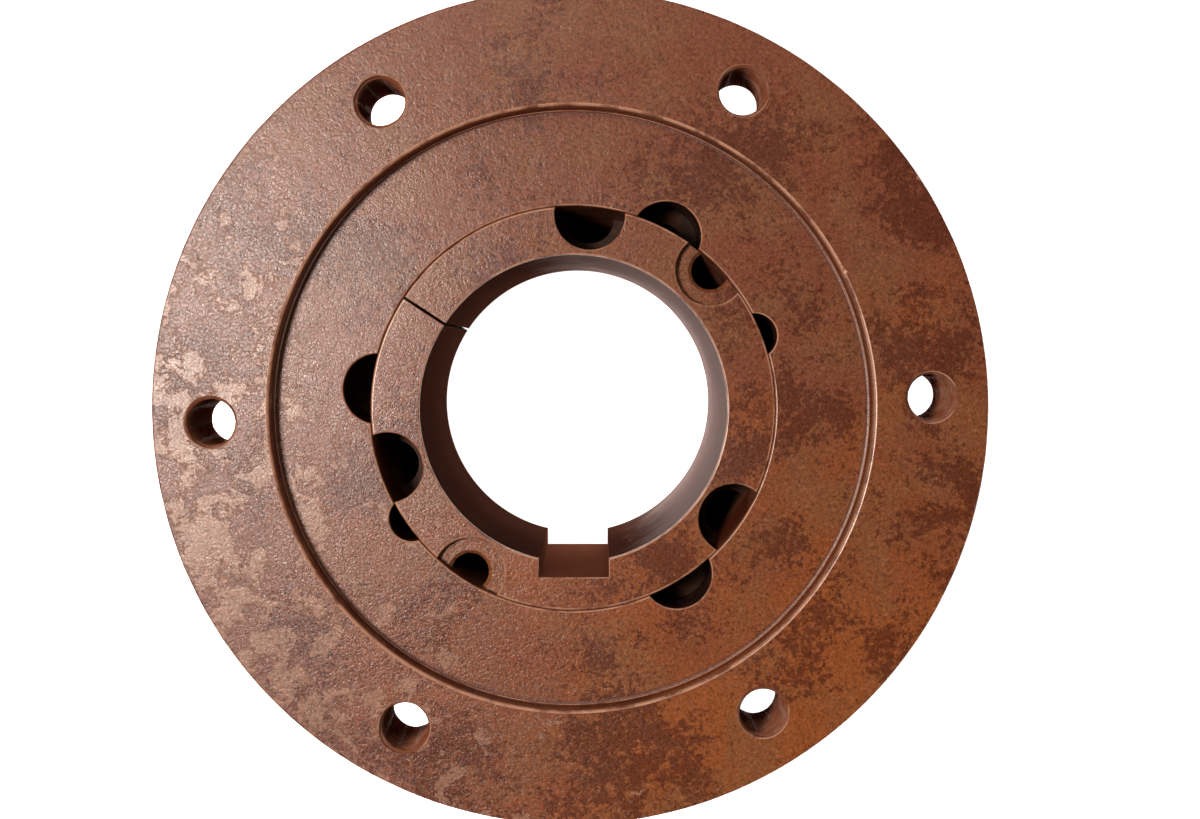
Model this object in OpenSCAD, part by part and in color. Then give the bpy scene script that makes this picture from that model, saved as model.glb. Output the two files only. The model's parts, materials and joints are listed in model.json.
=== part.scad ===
// Flanged hub with a split taper bush, for a rigid shaft connection.
//
// The hub is one casting: a thick flange with a shallow round recess in its
// front, six tapped holes, a plain barrel behind it and a tapered seat
// through the middle. The bush is a second, loose piece: a split sleeve with
// a matching taper outside, and a plain keyed bore inside for the shaft.
// Three mounting screws draw such a bush in and two jacking screws push it
// out, and each screw's hole lies half in the hub and half in the bush. Here
// the bush lies unscrewed in its seat, turned so that no two halves meet.
//
// Z is the shaft axis, z = 0 is the rear face, and the recess faces up.

/* [Flange] */
// Diameter of the flange
flange_d = 297; // [290:1:320]
// Thickness of the flange
flange_t = 38; // [30:1:50]
// Diameter of the round recess in the flange's front
recess_d = 215; // [204:1:226]
// Depth of the recess
recess_depth = 8; // [5:0.5:12]
// Number of tapped holes in the flange
flange_hole_count = 6; // [4:1:8]
// Diameter of the circle that the flange holes are on
flange_pcd = 256; // [250:1:264]
// Angle of the first flange hole, from +X
flange_hole_angle = 2; // [0:0.5:10]
// Crest-to-crest diameter of a flange hole's thread, as drilled for tapping
flange_hole_d = 16.6; // [13.5:0.1:19.5]
// Diameter of a flange hole's chamfered mouth
flange_mouth_d = 19; // [17.5:0.1:21.5]

/* [Barrel] */
// Diameter of the barrel behind the flange
barrel_d = 210; // [195:1:215]
// Radius of the cast fillet where the barrel meets the flange
barrel_fillet_r = 6; // [3:0.5:7]

/* [Taper bush] */
// Diameter of the bush's large end
bush_d = 146.05; // [144:0.05:148]
// Length of the bush
bush_length = 101.6; // [90:0.1:105]
// Angle of the taper to the axis, on each side
taper_angle = 4; // [3.5:0.1:4.5]
// Diameter of the shaft bore
shaft_d = 111.125; // [100:0.005:112]
// Width of the keyway
key_w = 25.4; // [20:0.1:28]
// Distance from the axis to the keyway's floor
key_floor_r = 61; // [59:0.1:62]
// Width of the slit through the bush's wall
slit_w = 1; // [0.8:0.1:3]
// Angle that the bush lies turned by, from the place where the half-holes meet
bush_turn = 23.4; // [0:0.1:30]
// Distance that the bush's large end lies below the recess floor
bush_sink = 1; // [0.5:0.1:3]
// Radial clearance between the two tapers
seat_clearance = 0.05; // [0.02:0.01:0.1]

/* [Screw holes] */
// Diameter of the circle that the half-holes are on
screw_circle_d = 140.6; // [139:0.1:144]
// Diameter of the counterbores for the mounting screws' heads
head_d = 25.4; // [24:0.1:27]
// Depth of the head's seat in the bush, from the bush's large end
bush_seat_depth = 22; // [18:0.5:26]
// Depth of the counterbore in the hub, from the recess floor
hub_head_depth = 26; // [22:0.5:30]
// Diameter of the clearance hole for a mounting screw
screw_clear_d = 17.6; // [16.5:0.1:19]
// Diameter of a screw thread's crests, as drilled for tapping
tap_d = 13.6; // [12:0.1:15]
// Depth of the mounting screws' holes, from the recess floor
screw_depth = 58; // [50:1:70]
// Diameter of the plain half-holes in the hub for the jacking screws
jack_hub_d = 16.4; // [15:0.1:18]
// Depth of those half-holes, from the recess floor
jack_hub_depth = 34; // [28:1:40]
// Diameter of the flat spot-face over a jacking thread in the bush
jack_face_d = 25.4; // [24:0.1:27]
// Depth of that spot-face
jack_face_depth = 3.6; // [2:0.1:6]
// Chamfer from that spot-face into the thread
jack_chamfer = 1.2; // [0.4:0.1:2]

/* [Edges] */
// Chamfer on the flange's outer edges
flange_chamfer = 1; // [0.5:0.1:2]
// Chamfer on the recess rim
rim_chamfer = 0.8; // [0.4:0.1:1.5]
// Fillet around the recess floor
recess_fillet_r = 1.6; // [1:0.1:2.5]
// Chamfer on the barrel's rear edge
rear_chamfer = 2; // [1:0.5:4]
// Chamfer on the hub's seat, at its front mouth
seat_chamfer = 0.5; // [0.2:0.1:0.8]
// Chamfer on the hub's seat, at its rear mouth
seat_rear_chamfer = 1.5; // [0.5:0.5:3]
// Chamfer on the bush's outer edges
bush_chamfer = 0.8; // [0.3:0.1:1.2]
// Chamfer on the bore's edges
bore_chamfer = 0.6; // [0.3:0.1:1]

/* [Hidden] */
$fn = 96;

// Lets a cutter run past the face that it opens
over = 1;
// Height of the bush's small end above the rear face
bush_bottom = 0.4;
bush_top = bush_bottom + bush_length;
recess_floor = bush_top + bush_sink;
hub_length = recess_floor + recess_depth;
flange_rear = hub_length - flange_t;

bush_r = bush_d / 2;
flange_r = flange_d / 2;
barrel_r = barrel_d / 2;
recess_r = recess_d / 2;
shaft_r = shaft_d / 2;

// Angles of the half-holes in the hub, from +X
mount_angles = [61.9, 174.1, 302];
jack_angles = [22, 214.1];
// Angles of the slit and the keyway where the bush's half-holes meet the hub's
slit_angle = 123.3;
key_angle = 246.6;

// Half the point angle of a twist drill
drill_half_angle = 59;

// Radius of the bush's outside at height z
function bush_r_at(z) = bush_r - (bush_top - z) * tan(taper_angle);
// Radius of the hub's seat at height z
function seat_r_at(z) = bush_r_at(z) + seat_clearance;
// Length of the cone that a twist drill of diameter d leaves
function drill_point(d) = d / 2 / tan(drill_half_angle);

// Puts its children at each angle on a circle of diameter d
module around(angles, d) {
    for (a = angles)
        rotate([0, 0, a]) translate([d / 2, 0, 0]) children();
}

// A screw's hole, cut down from height top: a wide part with a flat bottom,
// then a narrow part with the point that a drill leaves
module stepped_hole(top, wide_d, wide_depth, narrow_d, depth) {
    rotate_extrude()
        polygon([
            [0, top + over],
            [wide_d / 2, top + over],
            [wide_d / 2, top - wide_depth],
            [narrow_d / 2, top - wide_depth],
            [narrow_d / 2, top - depth],
            [0, top - depth - drill_point(narrow_d)]
        ]);
}

// A plain drilled hole, cut down from height top
module drilled_hole(top, d, depth) {
    rotate_extrude()
        polygon([
            [0, top + over],
            [d / 2, top + over],
            [d / 2, top - depth],
            [0, top - depth - drill_point(d)]
        ]);
}

// Outline of the hub on one side of its axis, with the seat left solid. The
// two inside corners are filled square, and a circle then makes each one round
module hub_outline() {
    barrel_round = [barrel_r + barrel_fillet_r, flange_rear - barrel_fillet_r];
    recess_round = [recess_r - recess_fillet_r, recess_floor + recess_fillet_r];
    difference() {
        polygon([
            [0, 0],
            [barrel_r - rear_chamfer, 0],
            [barrel_r, rear_chamfer],
            [barrel_r, barrel_round.y],
            barrel_round,
            [barrel_round.x, flange_rear],
            [flange_r - flange_chamfer, flange_rear],
            [flange_r, flange_rear + flange_chamfer],
            [flange_r, hub_length - flange_chamfer],
            [flange_r - flange_chamfer, hub_length],
            [recess_r + rim_chamfer, hub_length],
            [recess_r, hub_length - rim_chamfer],
            [recess_r, recess_round.y],
            recess_round,
            [recess_round.x, recess_floor],
            [0, recess_floor]
        ]);
        translate(barrel_round) circle(r = barrel_fillet_r);
        translate(recess_round) circle(r = recess_fillet_r);
    }
}

// The tapered seat, with a chamfer at each of its mouths
module seat_cutter() {
    bottom = -over;
    top = recess_floor + over;
    translate([0, 0, bottom])
        cylinder(r1 = seat_r_at(bottom), r2 = seat_r_at(top), h = top - bottom);
    front_r = seat_r_at(recess_floor);
    translate([0, 0, recess_floor - seat_chamfer])
        cylinder(r1 = front_r, r2 = front_r + 2 * seat_chamfer, h = 2 * seat_chamfer);
    rear_r = seat_r_at(0);
    translate([0, 0, -seat_rear_chamfer])
        cylinder(r1 = rear_r + 2 * seat_rear_chamfer, r2 = rear_r,
                 h = 2 * seat_rear_chamfer);
}

// One tapped flange hole with a chamfered mouth at each end
module flange_hole_cutter() {
    mouth = (flange_mouth_d - flange_hole_d) / 2;
    translate([0, 0, flange_rear - over])
        cylinder(d = flange_hole_d, h = flange_t + 2 * over);
    translate([0, 0, hub_length - mouth])
        cylinder(d1 = flange_hole_d, d2 = flange_mouth_d + 2 * mouth, h = 2 * mouth);
    translate([0, 0, flange_rear - mouth])
        cylinder(d1 = flange_mouth_d + 2 * mouth, d2 = flange_hole_d, h = 2 * mouth);
}

// The hub's half of a mounting hole: room for the head, then the thread
module hub_mount_cutter() {
    stepped_hole(recess_floor, head_d, hub_head_depth, tap_d, screw_depth);
}

// The hub's half of a jacking hole: plain, with a bottom to push against
module hub_jack_cutter() {
    drilled_hole(recess_floor, jack_hub_d, jack_hub_depth);
}

// The bush's half of a mounting hole: a seat for the head, then clearance
module bush_mount_cutter() {
    stepped_hole(bush_top, head_d, bush_seat_depth, screw_clear_d, screw_depth);
}

// The bush's half of a jacking hole: a flat spot-face, a chamfer, the thread
module bush_jack_cutter() {
    face = bush_top - jack_face_depth;
    rotate_extrude()
        polygon([
            [0, bush_top + over],
            [jack_face_d / 2, bush_top + over],
            [jack_face_d / 2, face],
            [tap_d / 2 + jack_chamfer, face],
            [tap_d / 2, face - jack_chamfer],
            [tap_d / 2, bush_top - jack_hub_depth],
            [0, bush_top - jack_hub_depth - drill_point(tap_d)]
        ]);
}

// The shaft bore with its keyway, chamfered at both ends
module shaft_cutter() {
    translate([0, 0, bush_bottom - over])
        cylinder(r = shaft_r, h = bush_length + 2 * over);
    translate([0, 0, bush_top - bore_chamfer])
        cylinder(r1 = shaft_r, r2 = shaft_r + 2 * bore_chamfer, h = 2 * bore_chamfer);
    translate([0, 0, bush_bottom - bore_chamfer])
        cylinder(r1 = shaft_r + 2 * bore_chamfer, r2 = shaft_r, h = 2 * bore_chamfer);
    rotate([0, 0, key_angle])
        translate([0, -key_w / 2, bush_bottom - over])
            cube([key_floor_r, key_w, bush_length + 2 * over]);
}

// The slit, from inside the bore to past the bush's outside
module slit_cutter() {
    rotate([0, 0, slit_angle])
        translate([0, -slit_w / 2, bush_bottom - over])
            cube([bush_r + over, slit_w, bush_length + 2 * over]);
}

// The bush's outside: a long taper with a small chamfer at each end
module bush_blank() {
    low = bush_bottom + bush_chamfer;
    high = bush_top - bush_chamfer;
    rotate_extrude()
        polygon([
            [0, bush_bottom],
            [bush_r_at(low) - bush_chamfer, bush_bottom],
            [bush_r_at(low), low],
            [bush_r_at(high), high],
            [bush_r_at(high) - bush_chamfer, bush_top],
            [0, bush_top]
        ]);
}

// The casting: flange, barrel, recess, seat and its halves of the holes
module flange_hub() {
    flange_angles = [
        for (i = [0 : flange_hole_count - 1])
            flange_hole_angle + i * 360 / flange_hole_count
    ];
    color([0.49, 0.31, 0.24])
        difference() {
            rotate_extrude() hub_outline();
            seat_cutter();
            around(flange_angles, flange_pcd) flange_hole_cutter();
            around(mount_angles, screw_circle_d) hub_mount_cutter();
            around(jack_angles, screw_circle_d) hub_jack_cutter();
        }
}

// The split, keyed sleeve, lying turned in its seat
module taper_bush() {
    color([0.52, 0.34, 0.26])
        rotate([0, 0, bush_turn])
            difference() {
                bush_blank();
                shaft_cutter();
                slit_cutter();
                around(mount_angles, screw_circle_d) bush_mount_cutter();
                around(jack_angles, screw_circle_d) bush_jack_cutter();
            }
}

flange_hub();
taper_bush();
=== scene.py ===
"""Looks for the flanged hub with its split taper bush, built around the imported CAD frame.

Both CAD nodes are stood for by finer turned meshes with the same sizes: rounded edges, real screw
threads, small dents and a cast skin. Everything is in metres, in the frame of the CAD model.
"""

import json
import math

import bpy
from mathutils import Matrix, Vector, noise


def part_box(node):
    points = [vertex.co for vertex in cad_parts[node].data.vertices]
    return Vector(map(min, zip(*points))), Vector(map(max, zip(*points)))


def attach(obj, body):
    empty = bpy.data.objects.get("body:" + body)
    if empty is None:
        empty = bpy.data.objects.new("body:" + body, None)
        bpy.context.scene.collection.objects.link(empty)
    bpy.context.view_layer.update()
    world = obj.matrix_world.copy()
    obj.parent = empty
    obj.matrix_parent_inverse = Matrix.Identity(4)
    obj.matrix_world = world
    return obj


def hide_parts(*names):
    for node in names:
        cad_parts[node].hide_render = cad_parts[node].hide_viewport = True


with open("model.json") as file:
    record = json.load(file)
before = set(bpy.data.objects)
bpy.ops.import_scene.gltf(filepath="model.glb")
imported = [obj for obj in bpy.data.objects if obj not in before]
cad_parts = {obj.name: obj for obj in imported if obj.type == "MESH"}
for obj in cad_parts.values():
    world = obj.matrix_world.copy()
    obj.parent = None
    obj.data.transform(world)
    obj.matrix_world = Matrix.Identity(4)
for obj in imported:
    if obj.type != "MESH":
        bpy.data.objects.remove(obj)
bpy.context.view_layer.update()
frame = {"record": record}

MM = 0.001

# ---------------------------------------------------------------- sizes from the frame
MOUNTS = {m["name"]: m for m in frame["record"]["mounts"]}
HUB_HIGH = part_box("flange_hub")[1]
BUSH_LOW, BUSH_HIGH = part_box("taper_bush")
HUB_TOP = HUB_HIGH.z
FLANGE_R = HUB_HIGH.x
BUSH_BOTTOM, BUSH_TOP = BUSH_LOW.z, BUSH_HIGH.z
SHAFT_R = MOUNTS["shaft_bore"]["dims"]["r_mm"] * MM
RECESS_R = MOUNTS["recess"]["dims"]["r_mm"] * MM
BARREL_R = MOUNTS["barrel"]["dims"]["r_mm"] * MM
FLANGE_HOLE_R = MOUNTS["flange_bolts"]["dims"]["hole_r_mm"] * MM
FLANGE_CIRCLE_R = MOUNTS["flange_bolts"]["dims"]["pcd_mm"] * MM / 2
FLANGE_HOLES = MOUNTS["flange_bolts"]["dims"]["count"]

# ---------------------------------------------------------------- sizes that the CAD source names
FLANGE_HOLE_ANGLE = 2
FLANGE_T = 38 * MM
RECESS_FLOOR = HUB_TOP - 8 * MM
FLANGE_REAR = HUB_TOP - FLANGE_T
BARREL_FILLET = 6 * MM
RECESS_FILLET = 1.6 * MM
BUSH_R = 73.025 * MM
TAPER = math.tan(math.radians(4))
SEAT_CLEARANCE = 0.05 * MM
BUSH_TURN = 23.4
KEY_HALF = 12.7 * MM
KEY_FLOOR = 61 * MM
SLIT_W = 1 * MM
SLIT_ANGLE = 123.3 + BUSH_TURN
SCREW_CIRCLE_R = 70.3 * MM
MOUNT_ANGLES = (61.9, 174.1, 302)
JACK_ANGLES = (22, 214.1)
HEAD_R = 12.7 * MM
BUSH_SEAT = 22 * MM
HUB_HEAD = 26 * MM
SCREW_CLEAR_R = 8.8 * MM
TAP_R = 6.8 * MM
SCREW_DEPTH = 58 * MM
JACK_HUB_R = 8.2 * MM
JACK_DEPTH = 34 * MM
JACK_FACE_R = 12.7 * MM
JACK_FACE = 3.6 * MM
JACK_CHAMFER = 1.2 * MM
DRILL_SLOPE = math.tan(math.radians(31))

# How far a cutter runs past the face that it opens
PAST = 1 * MM
# The lip that wear leaves round a screw hole's mouth, and the chamfer of a flange hole's mouth
LIP = 0.5 * MM
MOUTH = 1.2 * MM
# Edge roundings
FLANGE_REAR_ROUND = 1 * MM
FLANGE_FRONT_ROUND = 0.8 * MM
RECESS_RIM_ROUND = 1 * MM
SEAT_MOUTH_ROUND = 0.45 * MM
BUSH_ROUND = 0.8 * MM
BORE_ROUND = 0.6 * MM
# Steps round the axis for each mesh, and the angle above which an edge shades sharp
HUB_STEPS, BUSH_STEPS = 360, 320
FLANGE_HOLE_STEPS, SCREW_HOLE_STEPS, DENT_STEPS = 48, 56, 14
SHARP_ANGLE = 32

# Threads: pitch, and how far a groove goes in behind the crests
FLANGE_PITCH, FLANGE_THREAD = 2.54 * MM, 1.1 * MM
SCREW_PITCH, SCREW_THREAD = 2.31 * MM, 1.0 * MM

# ---------------------------------------------------------------- finishes, as slots on each mesh
SKIN, EDGE, SEAT, HOLE = range(4)
# The last two slots are the hub's own on the hub, and the bush's own on the bush
CAST, TAPPED = 4, 5
BORE, KEYWAY = 4, 5


# ---------------------------------------------------------------- mesh helpers
def arc(centre_r, centre_z, radius, start, end, steps, finish):
    """Outline points on a round corner, from angle start to end in degrees."""
    points = []
    for i in range(steps + 1):
        a = math.radians(start + (end - start) * i / steps)
        r = centre_r + radius * math.cos(a)
        z = centre_z + radius * math.sin(a)
        points.append((r, z, finish))
    return points


def line(start, end, steps, finish):
    """Outline points from start towards end, with end left out."""
    return [
        (
            start[0] + (end[0] - start[0]) * i / steps,
            start[1] + (end[1] - start[1]) * i / steps,
            finish,
        )
        for i in range(steps)
    ]


def turned(name, outline, steps, closed, vary=None):
    """Turns outline points (radius, height, finish) about Z into a mesh object. vary(r, z, angle)
    moves each point. An outline that isn't closed gets a flat cap at each end."""
    verts = []
    for r, z, _ in outline:
        for i in range(steps):
            a = 2 * math.pi * i / steps
            radius, height = vary(r, z, a) if vary else (r, z)
            verts.append((radius * math.cos(a), radius * math.sin(a), height))
    rows = len(outline)
    faces, finishes = [], []
    for row in range(rows if closed else rows - 1):
        here, there = row * steps, (row + 1) % rows * steps
        for i in range(steps):
            n = (i + 1) % steps
            faces.append((here + i, here + n, there + n, there + i))
            finishes.append(outline[row][2])
    if not closed:
        faces.append(tuple(reversed(range(steps))))
        faces.append(tuple(range((rows - 1) * steps, rows * steps)))
        finishes += [outline[0][2], outline[-1][2]]
    mesh = bpy.data.meshes.new(name)
    mesh.from_pydata(verts, [], faces)
    mesh.polygons.foreach_set("material_index", finishes)
    piece = bpy.data.objects.new(name, mesh)
    bpy.context.scene.collection.objects.link(piece)
    face_outwards(mesh)
    return piece


def face_outwards(mesh):
    """Turns a closed mesh's faces outwards, by the sign of its volume."""
    volume = 0.0
    for polygon in mesh.polygons:
        corners = [mesh.vertices[i].co for i in polygon.vertices]
        for i in range(1, len(corners) - 1):
            volume += corners[0].dot(corners[i].cross(corners[i + 1]))
    if volume < 0:
        mesh.flip_normals()


def slot_cutter(name, low, high, top, flare, finish):
    """A straight slot's cutter, from its low to its high corner, flared by an edge at height top."""
    rows = [(low.z, 0), (top - flare, 0), (high.z, high.z - top + flare)]
    verts = []
    for z, out in rows:
        verts += [(low.x - out, low.y - out, z), (high.x + out, low.y - out, z),
                  (high.x + out, high.y + out, z), (low.x - out, high.y + out, z)]
    faces, finishes = [(3, 2, 1, 0), (8, 9, 10, 11)], [finish, EDGE]
    for row, side_finish in ((0, finish), (4, EDGE)):
        for i in range(4):
            n = (i + 1) % 4
            faces.append((row + i, row + n, row + 4 + n, row + 4 + i))
            finishes.append(side_finish)
    mesh = bpy.data.meshes.new(name)
    mesh.from_pydata(verts, [], faces)
    mesh.polygons.foreach_set("material_index", finishes)
    piece = bpy.data.objects.new(name, mesh)
    bpy.context.scene.collection.objects.link(piece)
    face_outwards(mesh)
    return piece


def place(piece, radius, angle):
    """Moves a cutter that stands on the axis out to a radius, at an angle in degrees."""
    turn = Matrix.Rotation(math.radians(angle), 4, "Z")
    piece.data.transform(turn @ Matrix.Translation((radius, 0, 0)))
    return piece


def joined(pieces):
    """One object that holds the meshes of several."""
    verts, faces, finishes = [], [], []
    for piece in pieces:
        first = len(verts)
        verts += [tuple(v.co) for v in piece.data.vertices]
        for polygon in piece.data.polygons:
            faces.append(tuple(first + i for i in polygon.vertices))
            finishes.append(polygon.material_index)
        bpy.data.objects.remove(piece)
    mesh = bpy.data.meshes.new("cutters")
    mesh.from_pydata(verts, [], faces)
    mesh.polygons.foreach_set("material_index", finishes)
    whole = bpy.data.objects.new("cutters", mesh)
    bpy.context.scene.collection.objects.link(whole)
    return whole


def cut(piece, cutters, materials):
    """Takes the cutters away from the piece. The cut faces keep the cutters' finishes."""
    cutter = joined(cutters)
    for material in materials:
        cutter.data.materials.append(material)
    modifier = piece.modifiers.new("cut", "BOOLEAN")
    modifier.operation = "DIFFERENCE"
    modifier.solver = "EXACT"
    modifier.material_mode = "INDEX"
    modifier.object = cutter
    graph = bpy.context.evaluated_depsgraph_get()
    mesh = bpy.data.meshes.new_from_object(piece.evaluated_get(graph))
    piece.modifiers.clear()
    piece.data = mesh
    bpy.data.objects.remove(cutter)


def smooth(piece, limit):
    """Shades smooth, but sharp where two faces meet at more than limit degrees."""
    mesh = piece.data
    mesh.polygons.foreach_set("use_smooth", [True] * len(mesh.polygons))
    mesh.set_sharp_from_angle(angle=math.radians(limit))
    weighted = piece.modifiers.new("face normals", "WEIGHTED_NORMAL")
    weighted.keep_sharp = True
    weighted.weight = 90


# ---------------------------------------------------------------- cutters for the holes
def groove(turns):
    """How deep a thread is at a place, from 0 at the crest to 1 in the groove."""
    phase = turns - math.floor(turns)
    slope = abs(phase - 0.5) * 2
    return min(max((slope - 0.12) / 0.68, 0.0), 1.0)


def hole_outline(top, steps_of_hole):
    """Outline of a hole cut down from height top, from above it to its bottom. steps_of_hole is
    [(radius, depth, finish)], each going down to its own depth; the mouth gets a small lip."""
    first_r = steps_of_hole[0][0]
    points = [
        (first_r + LIP + PAST, top + PAST, EDGE),
        (first_r + LIP, top, EDGE),
        (first_r + LIP * 0.35, top - LIP * 0.45, EDGE),
        (first_r, top - LIP * 1.1, steps_of_hole[0][2]),
    ]
    for radius, depth, finish in steps_of_hole:
        last_r, last_z, _ = points[-1]
        if radius < last_r:
            points[-1] = (last_r, last_z, finish)
            points.append((radius, last_z, finish))
        points.append((radius, top - depth, finish))
    return points


def drilled_point(outline, finish):
    """Adds the cone that a drill leaves to the end of an outline."""
    radius, height, _ = outline[-1]
    tip = 0.15 * MM
    return outline + [(tip, height - (radius - tip) * DRILL_SLOPE, finish)]


def thread_rows(radius, top, bottom, pitch, rows_per_turn, finish):
    """Outline rows for a stretch of thread, close enough together to hold its shape."""
    count = max(2, round((top - bottom) / pitch * rows_per_turn))
    return line((radius, top), (radius, bottom), count, finish) + [(radius, bottom, finish)]


def flange_hole(index):
    """A hole through the flange, threaded all the way, with a countersunk mouth at each end."""
    mouth_r = FLANGE_HOLE_R + MOUTH
    rows = [(mouth_r + PAST, HUB_TOP + PAST, EDGE), (mouth_r, HUB_TOP, EDGE)]
    rows += line((FLANGE_HOLE_R, HUB_TOP - 0.4 * MM), (FLANGE_HOLE_R, HUB_TOP - MOUTH), 3, TAPPED)
    rows += thread_rows(FLANGE_HOLE_R, HUB_TOP - MOUTH, FLANGE_REAR + MOUTH, FLANGE_PITCH, 8, TAPPED)
    rows += line((FLANGE_HOLE_R, FLANGE_REAR + 0.9 * MM), (FLANGE_HOLE_R, FLANGE_REAR), 3, TAPPED)
    rows += [(mouth_r, FLANGE_REAR, EDGE), (mouth_r + PAST, FLANGE_REAR - PAST, EDGE)]

    def vary(r, z, a):
        inside = min(HUB_TOP - z, z - FLANGE_REAR)
        if inside <= 0:
            return r, z
        turns = z / FLANGE_PITCH - a / (2 * math.pi) + index * 0.37
        thread_r = FLANGE_HOLE_R + FLANGE_THREAD * groove(turns)
        return max(thread_r, mouth_r - inside), z

    return turned(f"flange_hole_{index}", rows, FLANGE_HOLE_STEPS, False, vary)


def half_hole(name, top, outline, thread_from=None):
    """A screw's hole from its outline. Below depth thread_from it is threaded."""

    def vary(r, z, a):
        if thread_from is None or abs(r - TAP_R) > 1e-6 or z > top - thread_from:
            return r, z
        turns = z / SCREW_PITCH - a / (2 * math.pi)
        return r + SCREW_THREAD * groove(turns), z

    return turned(name, outline, SCREW_HOLE_STEPS, False, vary)


def hub_mount_hole():
    """Room for a screw's head, a seat, then the thread."""
    seat = RECESS_FLOOR - HUB_HEAD
    outline = hole_outline(RECESS_FLOOR, [(HEAD_R, HUB_HEAD, HOLE), (TAP_R, HUB_HEAD, HOLE)])
    outline += thread_rows(TAP_R, seat - 1 * MM, RECESS_FLOOR - SCREW_DEPTH, SCREW_PITCH, 6, HOLE)
    return half_hole("hub_mount", RECESS_FLOOR, drilled_point(outline, HOLE), HUB_HEAD + 0.5 * MM)


def hub_jack_hole():
    """Plain, with a bottom for the screw to push against."""
    outline = hole_outline(RECESS_FLOOR, [(JACK_HUB_R, JACK_DEPTH, HOLE)])
    return half_hole("hub_jack", RECESS_FLOOR, drilled_point(outline, HOLE))


def bush_mount_hole():
    """A seat for the screw's head, then clearance."""
    steps = [(HEAD_R, BUSH_SEAT, HOLE), (SCREW_CLEAR_R, SCREW_DEPTH, HOLE)]
    outline = hole_outline(BUSH_TOP, steps)
    return half_hole("bush_mount", BUSH_TOP, drilled_point(outline, HOLE))


def bush_jack_hole():
    """A flat spot-face, a chamfer, then the thread."""
    face = BUSH_TOP - JACK_FACE
    outline = hole_outline(BUSH_TOP, [(JACK_FACE_R, JACK_FACE, SKIN)])
    outline += [(TAP_R + JACK_CHAMFER, face, SKIN), (TAP_R, face - JACK_CHAMFER, HOLE)]
    thread_top = face - JACK_CHAMFER - 0.3 * MM
    outline += thread_rows(TAP_R, thread_top, BUSH_TOP - JACK_DEPTH, SCREW_PITCH, 6, HOLE)
    thread_from = JACK_FACE + JACK_CHAMFER + 0.2 * MM
    return half_hole("bush_jack", BUSH_TOP, drilled_point(outline, HOLE), thread_from)


def dent(name, radius, angle, height, size, seed):
    """A small uneven lump that cuts a dent out of an edge."""
    rows = [
        (size * math.sin(math.radians(a)), size * math.cos(math.radians(a)), EDGE)
        for a in (8, 30, 55, 80, 105, 130, 155, 172)
    ]

    def vary(r, z, a):
        wobble = noise.noise(Vector((math.cos(a) * 2 + seed, math.sin(a) * 2, z / size)))
        return r * (1 + 0.35 * wobble), z * 0.6 + height

    lump = turned(name, rows, DENT_STEPS, False, vary)
    return place(lump, radius, angle)


# ---------------------------------------------------------------- the two pieces
def worn(r, a, depth, pitch, seed):
    """How far an edge is worn at a place round it."""
    spot = Vector((math.cos(a) * r / pitch, math.sin(a) * r / pitch, seed))
    return depth * noise.noise(spot)


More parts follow.
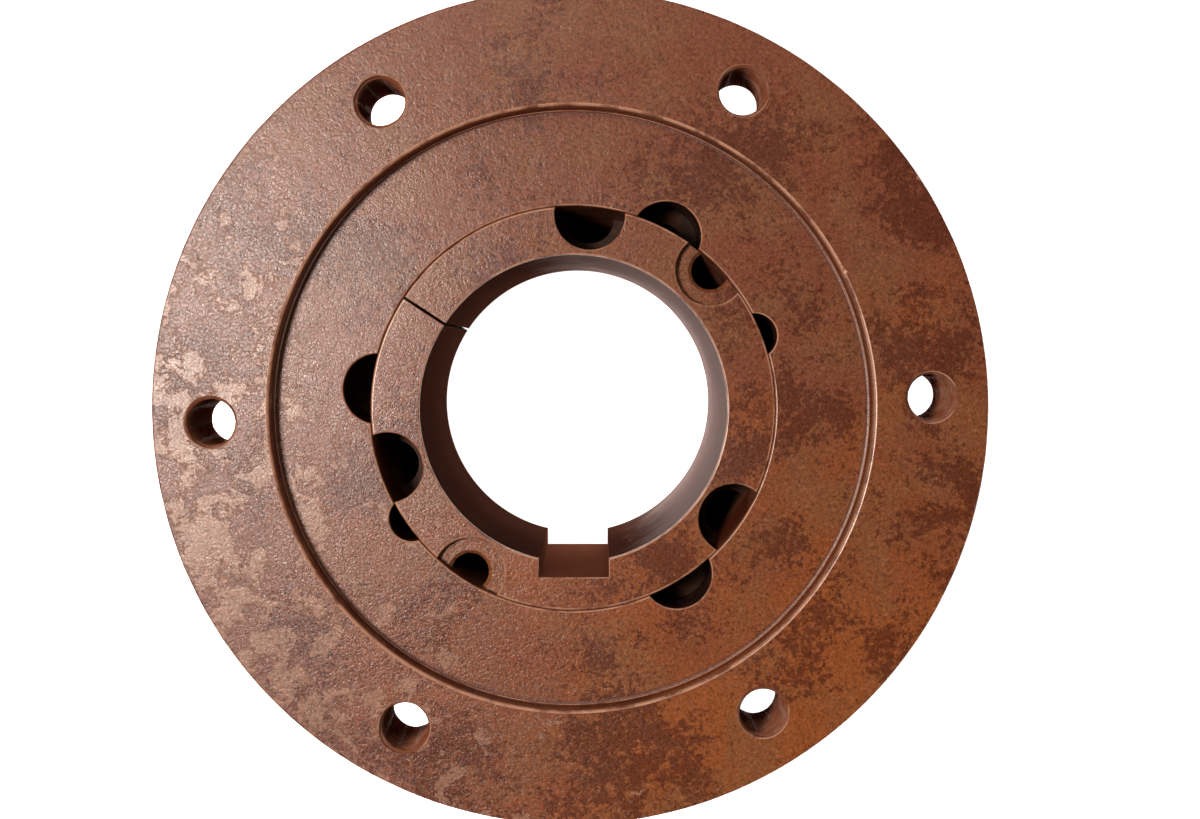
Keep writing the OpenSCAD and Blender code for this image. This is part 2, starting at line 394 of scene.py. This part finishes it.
def make_hub(materials):
    """The casting: flange, recess, barrel, seat and its halves of the holes."""
    seat_front = BUSH_R + (RECESS_FLOOR - BUSH_TOP) * TAPER + SEAT_CLEARANCE
    seat_rear = BUSH_R - BUSH_TOP * TAPER + SEAT_CLEARANCE
    outline = []
    outline += line((seat_rear + 1.5 * MM, 0), (BARREL_R - 2 * MM, 0), 4, SKIN)
    outline += [(BARREL_R - 2 * MM, 0, EDGE), (BARREL_R - 0.5 * MM, 0.9 * MM, EDGE)]
    outline += line((BARREL_R, 2.1 * MM), (BARREL_R, FLANGE_REAR - BARREL_FILLET), 26, CAST)
    outline += arc(BARREL_R + BARREL_FILLET, FLANGE_REAR - BARREL_FILLET, BARREL_FILLET,
                   180, 90, 8, CAST)
    outline += line((BARREL_R + BARREL_FILLET + 1 * MM, FLANGE_REAR),
                    (FLANGE_R - 1 * MM, FLANGE_REAR), 3, SKIN)
    outline += arc(FLANGE_R - FLANGE_REAR_ROUND, FLANGE_REAR + FLANGE_REAR_ROUND,
                   FLANGE_REAR_ROUND, -90, 0, 4, EDGE)
    outline += line((FLANGE_R, FLANGE_REAR + 1.5 * MM), (FLANGE_R, HUB_TOP - 1.5 * MM), 12, SKIN)
    outline += arc(FLANGE_R - FLANGE_FRONT_ROUND, HUB_TOP - FLANGE_FRONT_ROUND,
                   FLANGE_FRONT_ROUND, 0, 90, 4, SKIN)
    outline += line((FLANGE_R - 1.4 * MM, HUB_TOP), (RECESS_R + 1.7 * MM, HUB_TOP), 2, SKIN)
    outline += arc(RECESS_R + RECESS_RIM_ROUND, HUB_TOP - RECESS_RIM_ROUND,
                   RECESS_RIM_ROUND, 90, 180, 6, EDGE)
    outline += line((RECESS_R, HUB_TOP - 1.7 * MM), (RECESS_R, RECESS_FLOOR + RECESS_FILLET), 2, SKIN)
    # A thin low strip of the fillet takes the pale edge finish all round: a painted highlight line
    for start, end, finish in ((0, -48, SKIN), (-48, -58, EDGE), (-58, -90, SKIN)):
        outline += arc(RECESS_R - RECESS_FILLET, RECESS_FLOOR + RECESS_FILLET, RECESS_FILLET,
                       start, end, 3, finish)[:-1]
    outline += [(RECESS_R - RECESS_FILLET, RECESS_FLOOR, SKIN)]
    outline += line((RECESS_R - 2.4 * MM, RECESS_FLOOR), (seat_front + 1 * MM, RECESS_FLOOR), 2, SKIN)
    outline += arc(seat_front + SEAT_MOUTH_ROUND, RECESS_FLOOR - SEAT_MOUTH_ROUND,
                   SEAT_MOUTH_ROUND, 90, 180, 4, EDGE)
    outline += line((seat_front - 1.2 * MM * TAPER, RECESS_FLOOR - 1.2 * MM),
                    (seat_rear, 1.5 * MM), 6, SEAT)
    outline += [(seat_rear, 1.5 * MM, EDGE)]

    def vary(r, z, a):
        if 2 * MM < z < FLANGE_REAR and r > BARREL_R - 1 * MM and r < BARREL_R + BARREL_FILLET:
            spot = Vector((math.cos(a) * r, math.sin(a) * r, z)) / (9 * MM)
            rough = noise.noise(spot) + 0.5 * noise.noise(spot * 2.7)
            return r + 0.22 * MM * rough, z
        if FLANGE_REAR < z and r > FLANGE_R - 1 * MM:
            return r - abs(worn(r, a, 0.12 * MM, 14 * MM, 3.0)), z
        if z > HUB_TOP - 1.3 * MM and r < RECESS_R + 1.3 * MM:
            return r + abs(worn(r, a, 0.10 * MM, 9 * MM, 7.0)), z
        return r, z

    hub = turned("cast_hub", outline, HUB_STEPS, True, vary)
    for material in materials:
        hub.data.materials.append(material)
    cutters = []
    for i in range(FLANGE_HOLES):
        angle = FLANGE_HOLE_ANGLE + i * 360 / FLANGE_HOLES
        cutters.append(place(flange_hole(i), FLANGE_CIRCLE_R, angle))
    cutters += [place(hub_mount_hole(), SCREW_CIRCLE_R, a) for a in MOUNT_ANGLES]
    cutters += [place(hub_jack_hole(), SCREW_CIRCLE_R, a) for a in JACK_ANGLES]
    cutters.append(dent("rim_dent", RECESS_R + 0.4 * MM, 27, HUB_TOP, 1.3 * MM, 1.0))
    cutters.append(dent("edge_dent", FLANGE_R - 0.2 * MM, 34, HUB_TOP, 1.2 * MM, 2.0))
    cutters.append(dent("low_edge_dent", FLANGE_R, -66, HUB_TOP, 1.0 * MM, 3.0))
    cut(hub, cutters, materials)
    smooth(hub, SHARP_ANGLE)
    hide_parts("flange_hub")
    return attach(hub, "hub")


def make_bush(materials):
    """The split, keyed sleeve."""
    end_r = BUSH_R - (BUSH_TOP - BUSH_BOTTOM) * TAPER
    outline = []
    outline += arc(SHAFT_R + BORE_ROUND, BUSH_BOTTOM + BORE_ROUND, BORE_ROUND, 180, 270, 3, EDGE)
    outline += line((SHAFT_R + 1.1 * MM, BUSH_BOTTOM), (end_r - 1.2 * MM, BUSH_BOTTOM), 2, SKIN)
    outline += arc(end_r - 0.6 * MM, BUSH_BOTTOM + 0.6 * MM, 0.6 * MM, 270, 356, 3, EDGE)
    outline += line((end_r + 1.3 * MM * TAPER, BUSH_BOTTOM + 1.3 * MM),
                    (BUSH_R - 1.3 * MM * TAPER, BUSH_TOP - 1.3 * MM), 16, SEAT)
    # The front round's centre, a little further in than the taper there needs
    round_r = BUSH_R - BUSH_ROUND - 0.06 * MM
    for start, end, finish in ((0, 15, SEAT), (15, 90, EDGE)):
        outline += arc(round_r, BUSH_TOP - BUSH_ROUND, BUSH_ROUND, start, end, 3, finish)[:-1]
    outline += line((round_r, BUSH_TOP), (SHAFT_R + 1.2 * MM, BUSH_TOP), 2, SKIN)
    outline += arc(SHAFT_R + BORE_ROUND, BUSH_TOP - BORE_ROUND, BORE_ROUND, 90, 180, 4, EDGE)
    outline += line((SHAFT_R, BUSH_TOP - 1.3 * MM), (SHAFT_R, BUSH_BOTTOM + 1.3 * MM), 8, BORE)
    bush = turned("split_bush", outline, BUSH_STEPS, True)
    for material in materials:
        bush.data.materials.append(material)
    low, high = BUSH_BOTTOM - PAST, BUSH_TOP + PAST
    keyway = slot_cutter("keyway", Vector((-KEY_HALF, -KEY_FLOOR, low)),
                         Vector((KEY_HALF, -SHAFT_R + 12 * MM, high)), BUSH_TOP, 0.4 * MM, KEYWAY)
    slit = slot_cutter("slit", Vector((SHAFT_R - 3 * MM, -SLIT_W / 2, low)),
                       Vector((BUSH_R + PAST, SLIT_W / 2, high)), BUSH_TOP, 0.25 * MM, HOLE)
    cutters = [keyway, place(slit, 0, SLIT_ANGLE)]
    cutters += [place(bush_mount_hole(), SCREW_CIRCLE_R, a + BUSH_TURN) for a in MOUNT_ANGLES]
    cutters += [place(bush_jack_hole(), SCREW_CIRCLE_R, a + BUSH_TURN) for a in JACK_ANGLES]
    cut(bush, cutters, materials)
    smooth(bush, SHARP_ANGLE)
    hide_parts("taper_bush")
    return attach(bush, "bush")


# ---------------------------------------------------------------- materials
class Nodes:
    """A material's node tree, with short ways to add what the finishes here need."""

    def __init__(self, name, offset=(0, 0, 0)):
        self.material = bpy.data.materials.new(name)
        self.material.use_nodes = True
        self.tree = self.material.node_tree
        self.shader = self.tree.nodes["Principled BSDF"]
        self.place = self.add("ShaderNodeTexCoord").outputs["Object"]
        shifted = self.add("ShaderNodeVectorMath", operation="ADD")
        self.feed(shifted.inputs[0], self.place)
        self.feed(shifted.inputs[1], offset)
        self.grain_place = shifted.outputs["Vector"]

    def add(self, kind, **settings):
        node = self.tree.nodes.new(kind)
        for key, value in settings.items():
            setattr(node, key, value)
        return node

    def feed(self, socket, value):
        if isinstance(value, bpy.types.NodeSocket):
            self.tree.links.new(value, socket)
        else:
            socket.default_value = value

    def noise(self, size, detail=4.0, roughness=0.5, distortion=0.0, vector=None):
        """Noise with features about size metres across."""
        node = self.add("ShaderNodeTexNoise")
        self.feed(node.inputs["Vector"], vector or self.grain_place)
        self.feed(node.inputs["Scale"], 1 / size)
        self.feed(node.inputs["Detail"], detail)
        self.feed(node.inputs["Roughness"], roughness)
        self.feed(node.inputs["Distortion"], distortion)
        return node.outputs["Fac"]

    def cells(self, size):
        """Distance to the nearest of many scattered points about size metres apart."""
        node = self.add("ShaderNodeTexVoronoi")
        self.feed(node.inputs["Vector"], self.grain_place)
        self.feed(node.inputs["Scale"], 1 / size)
        return node.outputs["Distance"]

    def step(self, value, low, high):
        """0 below low, 1 above high, smooth between."""
        node = self.add("ShaderNodeMapRange", interpolation_type="SMOOTHSTEP")
        self.feed(node.inputs["Value"], value)
        self.feed(node.inputs["From Min"], low)
        self.feed(node.inputs["From Max"], high)
        return node.outputs["Result"]

    def span(self, value, to_low, to_high, from_low=0.0, from_high=1.0):
        """Moves a number from one range to another."""
        node = self.add("ShaderNodeMapRange")
        self.feed(node.inputs["Value"], value)
        self.feed(node.inputs["From Min"], from_low)
        self.feed(node.inputs["From Max"], from_high)
        self.feed(node.inputs["To Min"], to_low)
        self.feed(node.inputs["To Max"], to_high)
        return node.outputs["Result"]

    def math(self, operation, a, b):
        node = self.add("ShaderNodeMath", operation=operation)
        self.feed(node.inputs[0], a)
        self.feed(node.inputs[1], b)
        return node.outputs[0]

    def times(self, a, b):
        return self.math("MULTIPLY", a, b)

    def plus(self, a, b):
        return self.math("ADD", a, b)

    def mix(self, factor, a, b, blend="MIX"):
        node = self.add("ShaderNodeMix", data_type="RGBA", blend_type=blend)
        self.feed(node.inputs["Factor"], factor)
        self.feed(node.inputs["A"], a if isinstance(a, bpy.types.NodeSocket) else (*a, 1))
        self.feed(node.inputs["B"], b if isinstance(b, bpy.types.NodeSocket) else (*b, 1))
        return node.outputs["Result"]

    def shade(self, colour, value):
        """Makes a colour darker or lighter by a number."""
        grey = self.add("ShaderNodeCombineColor")
        for i in range(3):
            self.feed(grey.inputs[i], value)
        return self.mix(1.0, colour, grey.outputs["Color"], "MULTIPLY")

    def along(self, direction):
        """How far a point lies along a direction, in metres."""
        node = self.add("ShaderNodeVectorMath", operation="DOT_PRODUCT")
        self.feed(node.inputs[0], self.place)
        self.feed(node.inputs[1], direction)
        return node.outputs["Value"]

    def rings(self, pitch, detail=3.0):
        """Noise that only changes with the distance from the axis, as turning leaves it."""
        flat = self.add("ShaderNodeVectorMath", operation="MULTIPLY")
        self.feed(flat.inputs[0], self.place)
        self.feed(flat.inputs[1], (1, 1, 0))
        away = self.add("ShaderNodeVectorMath", operation="LENGTH")
        self.feed(away.inputs[0], flat.outputs["Vector"])
        node = self.add("ShaderNodeTexNoise", noise_dimensions="1D")
        self.feed(node.inputs["W"], away.outputs["Value"])
        self.feed(node.inputs["Scale"], 1 / pitch)
        self.feed(node.inputs["Detail"], detail)
        return node.outputs["Fac"]

    def from_ring(self, radius, height):
        """Distance from a ring round Z."""
        flat = self.add("ShaderNodeVectorMath", operation="MULTIPLY")
        self.feed(flat.inputs[0], self.place)
        self.feed(flat.inputs[1], (1, 1, 0))
        away = self.add("ShaderNodeVectorMath", operation="LENGTH")
        self.feed(away.inputs[0], flat.outputs["Vector"])
        across = self.math("SUBTRACT", away.outputs["Value"], radius)
        up = self.math("SUBTRACT", self.along((0, 0, 1)), height)
        return self.math("SQRT", self.plus(self.times(across, across), self.times(up, up)), 0.0)

    def flattened(self, part):
        """The grain's place with its width and depth shrunk, which draws marks out round Z."""
        node = self.add("ShaderNodeMapping")
        self.feed(node.inputs["Vector"], self.grain_place)
        self.feed(node.inputs["Scale"], (part, part, 1.0))
        return node.outputs["Vector"]

    def bump(self, height, distance, normal=None):
        node = self.add("ShaderNodeBump")
        self.feed(node.inputs["Strength"], 1.0)
        self.feed(node.inputs["Distance"], distance)
        self.feed(node.inputs["Height"], height)
        if normal:
            self.feed(node.inputs["Normal"], normal)
        return node.outputs["Normal"]


# ---------------------------------------------------------------- colours
ORANGE_BROWN = (0.225, 0.057, 0.013)
OLIVE_BROWN = (0.172, 0.066, 0.024)
RED_BROWN = (0.158, 0.042, 0.017)
# Mauve, mixed in towards the left as a painted tint of the window's sheen
MAUVE = (0.155, 0.056, 0.036)
TAN = (0.330, 0.172, 0.105)
PLUM = (0.066, 0.010, 0.003)
# Near-black for the holes and the slit: painted shade
SHADE_BLACK = (0.010, 0.005, 0.004)
OIL_RED = (0.070, 0.020, 0.008)
# The thread's lighter brown is lifted as painted light, for room light that the flange holes' walls
# don't get
THREAD_LIT_BROWN = (0.270, 0.130, 0.085)
EDGE_CREAM = (0.400, 0.180, 0.100)
# The seat's dark brown: old oil, and painted shade where the seat lies between the parts
SEAT_OIL_AND_SHADE_BROWN = (0.110, 0.036, 0.017)
# Bore colours: pale grey as painted sheen, dark brown as painted shade
BORE_SHEEN_GREY = (0.250, 0.172, 0.150)
BORE_SHADE_BROWN = (0.066, 0.024, 0.015)
KEY_BROWN = (0.170, 0.055, 0.030)
# The side of the bore painted dark as shade, whose other side is painted pale grey as sheen, and the
# tints of the shine on skin and in holes
BORE_SHADE_SIDE = (-0.94, -0.34, 0)
WARM_SHINE = (1.0, 0.87, 0.77, 1)
RED_SHINE = (1.0, 0.66, 0.50, 1)


def oxide_skin(name, offset, grain_depth):
    """A machined iron face under a mottled brown oxide skin, oiled and half glossy."""
    n = Nodes(name, offset)
    orange_side = n.span(n.along((0.35, -0.94, 0)), 0.0, 1.0, -0.04, 0.14)
    # Towards the left: real pale film gathers there, together with a mauve tint that is painted sheen
    film_and_sheen_side = n.span(n.along((-0.92, -0.39, 0)), 0.0, 1.0, -0.01, 0.13)
    drift = n.span(n.noise(0.050, 4, 0.6, 0.5), -0.8, 0.8)

    base = n.mix(n.step(n.plus(orange_side, drift), 0.10, 0.95), RED_BROWN, ORANGE_BROWN)
    olive = n.noise(0.030, 5, 0.65, 0.4)
    base = n.mix(n.times(n.step(olive, 0.44, 0.64), 0.50), base, OLIVE_BROWN)
    # Painted sheen: a mauve tint that grows towards the left, where the window's sheen falls
    base = n.mix(n.times(n.times(film_and_sheen_side, film_and_sheen_side), 0.75), base, MAUVE)

    # Thin pale film in ragged islands with dark outlines, on one side
    film = n.plus(n.noise(0.012, 10, 0.74, 0.3), n.times(film_and_sheen_side, 0.22))
    film_mask = n.step(film, 0.695, 0.725)
    outline = n.math("SUBTRACT", n.step(film, 0.675, 0.695), film_mask)
    base = n.mix(n.times(outline, 0.45), base, PLUM)
    base = n.mix(n.times(film_mask, 0.50), base, TAN)

    # Dark clusters made of fine dots
    cluster = n.plus(n.noise(0.036, 5, 0.62, 0.3), n.times(n.noise(0.0022, 4, 0.7), 0.75))
    dots = n.step(cluster, 0.91, 0.96)
    dots = n.times(dots, n.math("SUBTRACT", 1.0, n.times(film_mask, 0.75)))
    base = n.mix(n.times(dots, 0.70), base, PLUM)

    # Small pits and specks
    pits = n.math("SUBTRACT", 1.0, n.step(n.cells(0.0036), 0.10, 0.26))
    pit_mask = n.times(pits, n.step(n.noise(0.016, 3, 0.5), 0.50, 0.66))
    base = n.mix(n.times(pit_mask, 0.65), base, PLUM)
    worm = n.noise(0.0010, 3, 0.6, 0.9)
    speck = n.noise(0.0012, 4, 0.75)
    base = n.shade(base, n.span(n.plus(worm, speck), 0.15, 1.85, 0.5, 1.5))
    base = n.mix(n.times(n.step(speck, 0.60, 0.70), 0.40), base, TAN)

    # Dirt and painted shade in the recess's corner: darker close to where the wall meets the floor
    corner = n.math("SUBTRACT", 1.0, n.step(n.from_ring(RECESS_R, RECESS_FLOOR), 1.2 * MM, 2.6 * MM))
    base = n.mix(n.times(corner, 0.75), base, PLUM)
    n.feed(n.shader.inputs["Base Color"], base)

    gloss = n.plus(n.span(n.noise(0.016, 5, 0.6), 0.20, 0.38), n.span(worm, -0.10, 0.10))
    rough = n.plus(gloss, n.times(corner, 0.08))
    n.feed(n.shader.inputs["Roughness"], rough)
    n.feed(n.shader.inputs["Specular IOR Level"], 0.5)
    n.feed(n.shader.inputs["Specular Tint"], WARM_SHINE)

    bare = n.math("SUBTRACT", 1.0, n.times(film_mask, 0.3))
    normal = n.bump(n.times(worm, n.times(bare, n.span(film_and_sheen_side, 0.45, 1.0))), grain_depth)
    normal = n.bump(pit_mask, -0.05 * MM, normal)
    normal = n.bump(n.rings(0.0011), 0.010 * MM, normal)
    normal = n.bump(n.noise(0.0060, 4, 0.55), 0.14 * MM, normal)
    n.feed(n.shader.inputs["Normal"], normal)
    return n.material


def worn_edge_and_highlight(name, offset):
    """An edge that handling has rubbed down to a pale, half-bare brown in most places; on a thin
    strip of the recess's fillet the same pale finish is a painted highlight line.
    """
    n = Nodes(name, offset)
    rub = n.noise(0.009, 6, 0.65)
    base = n.mix(n.step(rub, 0.34, 0.56), RED_BROWN, EDGE_CREAM)
    base = n.shade(base, n.span(n.noise(0.0011, 3, 0.7), 0.7, 1.3))
    n.feed(n.shader.inputs["Base Color"], base)
    n.feed(n.shader.inputs["Roughness"], n.span(rub, 0.38, 0.22))
    n.feed(n.shader.inputs["Specular IOR Level"], 0.8)
    n.feed(n.shader.inputs["Specular Tint"], WARM_SHINE)
    n.feed(n.shader.inputs["Normal"], n.bump(n.noise(0.0012, 3, 0.6), 0.03 * MM))
    return n.material


def turned_seat(name, offset):
    """The taper that hub and bush share: turned, and dark red-brown with old oil and with painted
    shade, as it lies deep between the parts.
    """
    n = Nodes(name, offset)
    marks = n.noise(0.0008, 5, 0.6, 0.0, n.flattened(0.05))
    tone_mix = n.noise(0.016, 6, 0.6, 0.5)
    base = n.mix(n.step(tone_mix, 0.40, 0.62), SEAT_OIL_AND_SHADE_BROWN, PLUM)
    base = n.shade(base, n.span(marks, 0.7, 1.3))
    n.feed(n.shader.inputs["Base Color"], base)
    n.feed(n.shader.inputs["Roughness"], n.span(tone_mix, 0.36, 0.54))
    n.feed(n.shader.inputs["Specular IOR Level"], 0.35)
    n.feed(n.shader.inputs["Specular Tint"], WARM_SHINE)
    n.feed(n.shader.inputs["Normal"], n.bump(marks, 0.05 * MM))
    return n.material


def turned_bore(name, offset, sheen_colour, shade_colour):
    """A machined inner wall with fine tool marks, mixing two colours by side and by random stains; in
    the bush's bore the dark side is painted shade and the pale grey side is painted sheen.
    """
    n = Nodes(name, offset)
    marks = n.noise(0.0008, 5, 0.6, 0.0, n.flattened(0.05))
    # One side of the bore gets painted shade and the other painted sheen, broken up by random stains
    tone_mix = n.plus(n.span(n.along(BORE_SHADE_SIDE), 0.0, 1.0, -0.030, 0.015),
                   n.span(n.noise(0.016, 6, 0.6, 0.5), -0.35, 0.35))
    base = n.mix(n.step(tone_mix, 0.1, 0.7), sheen_colour, shade_colour)
    base = n.shade(base, n.span(marks, 0.8, 1.2))
    n.feed(n.shader.inputs["Base Color"], base)
    n.feed(n.shader.inputs["Roughness"], n.span(n.noise(0.01, 4, 0.6), 0.62, 0.78))
    n.feed(n.shader.inputs["Specular IOR Level"], 0.0)
    n.feed(n.shader.inputs["Normal"], n.bump(marks, 0.04 * MM))
    return n.material


def hole_wall(name, offset, darker_colour, lighter_colour, shine):
    """The wall of a drilled or tapped hole in two colours mixed by noise: the darker where old oil
    lies, the lighter where it has dried. In the shared hole finish the darker is a near-black painted
    shade.
    """
    n = Nodes(name, offset)
    dried = n.noise(0.008, 4, 0.6, 0.5)
    base = n.mix(n.times(n.step(dried, 0.40, 0.70), 0.6), darker_colour, lighter_colour)
    base = n.shade(base, n.span(n.noise(0.0012, 3, 0.7), 0.7, 1.3))
    n.feed(n.shader.inputs["Base Color"], base)
    n.feed(n.shader.inputs["Roughness"], n.span(dried, 0.40, 0.60))
    n.feed(n.shader.inputs["Specular IOR Level"], shine)
    n.feed(n.shader.inputs["Specular Tint"], RED_SHINE)
    n.feed(n.shader.inputs["Normal"], n.bump(n.noise(0.0015, 4, 0.6), 0.03 * MM))
    return n.material


def cast_skin(name, offset):
    """The barrel's cast wall, left unmachined: coarse, darker and duller."""
    n = Nodes(name, offset)
    base = n.mix(n.step(n.noise(0.05, 6, 0.6, 0.5), 0.35, 0.65), PLUM, RED_BROWN)
    rust = n.noise(0.014, 8, 0.7, 0.6)
    base = n.mix(n.times(n.step(rust, 0.50, 0.62), 0.6), base, ORANGE_BROWN)
    base = n.shade(base, n.span(n.noise(0.002, 4, 0.7), 0.6, 1.4))
    n.feed(n.shader.inputs["Base Color"], base)
    n.feed(n.shader.inputs["Roughness"], n.span(rust, 0.52, 0.74))
    sand = n.bump(n.noise(0.0026, 6, 0.7), 0.22 * MM)
    n.feed(n.shader.inputs["Normal"], n.bump(n.cells(0.006), 0.10 * MM, sand))
    return n.material


# ---------------------------------------------------------------- camera, lights and floor
CAMERA_PLACE = (9.08 * MM, 17.91 * MM, HUB_TOP + 545.4 * MM)
CAMERA_TILT_X, CAMERA_TILT_Y = math.radians(-1.51), math.radians(-1.67)
LENS, SENSOR = 46.1, 36.0
SHIFT = (-0.0365, -0.0081)
FLOOR_REACH = 40.0
FLOOR_WASH = 3.7


def add_camera():
    """Looks down at the recessed front, tilted a little, with +Y up in the picture."""
    data = bpy.data.cameras.new("camera")
    data.lens, data.sensor_width = LENS, SENSOR
    data.shift_x, data.shift_y = SHIFT
    data.clip_start, data.clip_end = 0.01, 20
    camera = bpy.data.objects.new("camera", data)
    camera.location = CAMERA_PLACE
    tilt = Matrix.Rotation(CAMERA_TILT_X, 3, "X") @ Matrix.Rotation(CAMERA_TILT_Y, 3, "Y")
    camera.rotation_euler = tilt.to_euler()
    bpy.context.scene.collection.objects.link(camera)
    bpy.context.scene.camera = camera


def add_softbox(name, place_at, size, power, colour):
    """A square area light that faces the middle of the object."""
    data = bpy.data.lights.new(name, "AREA")
    data.shape, data.size = "SQUARE", size
    data.energy, data.color = power, colour
    lamp = bpy.data.objects.new(name, data)
    lamp.location = place_at
    aim = Vector((0, 0, HUB_TOP)) - Vector(place_at)
    lamp.rotation_euler = aim.to_track_quat("-Z", "Y").to_euler()
    bpy.context.scene.collection.objects.link(lamp)


def add_floor():
    """A plain pale floor under the hub's rear face, and a wash of light for it alone."""
    mesh = bpy.data.meshes.new("floor")
    corners = [(-FLOOR_REACH, -FLOOR_REACH, 0), (FLOOR_REACH, -FLOOR_REACH, 0),
               (FLOOR_REACH, FLOOR_REACH, 0), (-FLOOR_REACH, FLOOR_REACH, 0)]
    mesh.from_pydata(corners, [], [(0, 1, 2, 3)])
    floor = bpy.data.objects.new("floor", mesh)
    floor.location.z = -0.2 * MM
    material = bpy.data.materials.new("pale_floor")
    material.use_nodes = True
    shader = material.node_tree.nodes["Principled BSDF"]
    shader.inputs["Base Color"].default_value = (0.88, 0.88, 0.88, 1)
    shader.inputs["Roughness"].default_value = 1.0
    shader.inputs["Specular IOR Level"].default_value = 0.0
    mesh.materials.append(material)
    bpy.context.scene.collection.objects.link(floor)
    lit_by_wash = bpy.data.collections.new("lit_by_wash")
    lit_by_wash.objects.link(floor)
    data = bpy.data.lights.new("floor_wash", "SUN")
    data.energy, data.use_shadow = FLOOR_WASH, False
    wash = bpy.data.objects.new("floor_wash", data)
    bpy.context.scene.collection.objects.link(wash)
    wash.light_linking.receiver_collection = lit_by_wash


# Name, place, size, power and colour of each softbox: daylight from a big window on the upper
# left, a weaker one above, and a little fill from low on three sides
SOFTBOXES = (
    ("window", (-0.50, 0.06, HUB_TOP + 1.0), 0.26, 14.5, (0.98, 0.98, 1.0)),
    ("top_window", (-0.22, 0.66, HUB_TOP + 1.15), 0.36, 2.2, (1.0, 0.93, 0.87)),
    ("low_right", (1.2, -0.5, 0.50), 0.7, 3.0, (1.0, 0.88, 0.76)),
    ("low_back", (0.4, 1.4, 0.50), 0.7, 1.6, (1.0, 0.97, 0.95)),
    ("low_front", (-0.6, -1.4, 0.45), 0.7, 1.6, (1.0, 0.97, 0.95)),
)


def light_scene():
    """The softboxes, and a dim warm room around them."""
    for softbox in SOFTBOXES:
        add_softbox(*softbox)
    world = bpy.data.worlds.new("soft_room")
    world.use_nodes = True
    world.node_tree.nodes["Background"].inputs["Color"].default_value = (1.0, 0.96, 0.92, 1)
    world.node_tree.nodes["Background"].inputs["Strength"].default_value = 0.09
    bpy.context.scene.world = world
    bpy.context.scene.view_settings.view_transform = "Standard"


add_camera()
light_scene()
add_floor()


def shared_finishes(part, offset, grain_depth):
    """The finishes that both pieces have, in the order of their slots."""
    return [
        oxide_skin(f"{part}_oxide_skin", offset, grain_depth),
        worn_edge_and_highlight(f"{part}_worn_edge_and_highlight", offset),
        turned_seat(f"{part}_turned_seat", offset),
        # Holes and the slit: mostly near-black painted shade, with patches of dried oil
        hole_wall(f"{part}_hole_wall", offset, SHADE_BLACK, OIL_RED, 0.2),
    ]


# Where each piece takes its grain from, so that stains don't run on from one to the other
HUB_GRAIN, BUSH_GRAIN = (0, 0, 0), (0.37, 0.11, 0)

make_hub(shared_finishes("hub", HUB_GRAIN, 0.20 * MM) + [
    cast_skin("hub_cast_skin", HUB_GRAIN),
    # Flange holes' threads: the lighter brown is lifted as painted light
    hole_wall("hub_flange_thread", HUB_GRAIN, RED_BROWN, THREAD_LIT_BROWN, 0.4),
])
make_bush(shared_finishes("bush", BUSH_GRAIN, 0.22 * MM) + [
    turned_bore("bush_turned_bore", BUSH_GRAIN, BORE_SHEEN_GREY, BORE_SHADE_BROWN),
    turned_bore("bush_keyway", BUSH_GRAIN, KEY_BROWN, KEY_BROWN),
])
